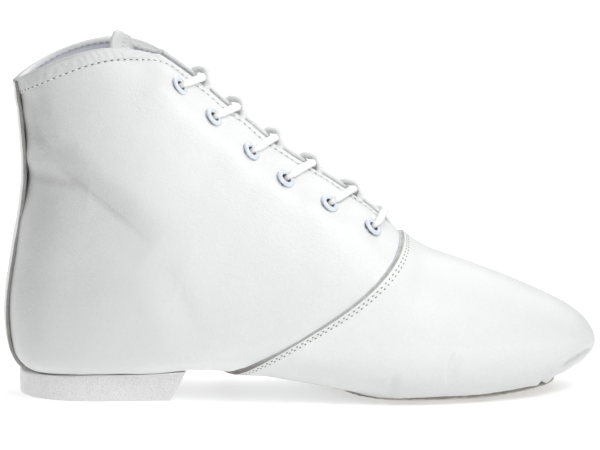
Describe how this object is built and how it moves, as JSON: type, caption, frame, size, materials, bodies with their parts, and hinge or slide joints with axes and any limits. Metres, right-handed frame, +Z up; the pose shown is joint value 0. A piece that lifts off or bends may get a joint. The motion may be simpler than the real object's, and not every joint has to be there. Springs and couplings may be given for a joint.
{
  "type": "dance boot",
  "caption": "Low-heeled ankle-high dance boot with a soft hollow leather upper, laced throat, tongue, split sole of forefoot patch and heel block; a foot goes in at the collar.",
  "frame": {"origin": "middle of the footprint's box, on the floor", "axes": "+X to the toe, +Y to the inner (big toe) side, +Z up"},
  "size_m": [0.2514, 0.084, 0.1534],
  "materials": {
    "upper_leather": "smooth satin white",
    "binding_leather": "smooth satin white",
    "stay_leather": "smooth satin white with a raw edge",
    "tongue_leather": "smooth white",
    "insole_fabric": "plain woven",
    "sole_suede": "napped suede with a raw edge",
    "heel_rubber": "matte, finely speckled",
    "eyelet_enamel": "gloss enamel",
    "lace_cotton": "braided, matte"
  },
  "bodies": {
    "root": {"upper": "upper_leather", "collar_binding": "binding_leather", "back_stay": "stay_leather", "tongue": "tongue_leather", "insole": "insole_fabric", "forefoot_sole": "sole_suede", "heel": "heel_rubber", "eyelet_outer_1": "eyelet_enamel", "eyelet_outer_2": "eyelet_enamel", "eyelet_outer_3": "eyelet_enamel", "eyelet_outer_4": "eyelet_enamel", "eyelet_outer_5": "eyelet_enamel", "eyelet_outer_6": "eyelet_enamel", "eyelet_inner_1": "eyelet_enamel", "eyelet_inner_2": "eyelet_enamel", "eyelet_inner_3": "eyelet_enamel", "eyelet_inner_4": "eyelet_enamel", "eyelet_inner_5": "eyelet_enamel", "eyelet_inner_6": "eyelet_enamel", "lace_bar": "lace_cotton", "lace_crossing_1": "lace_cotton", "lace_crossing_2": "lace_cotton", "lace_crossing_3": "lace_cotton", "lace_crossing_4": "lace_cotton", "lace_crossing_5": "lace_cotton"}
  },
  "joints": []
}
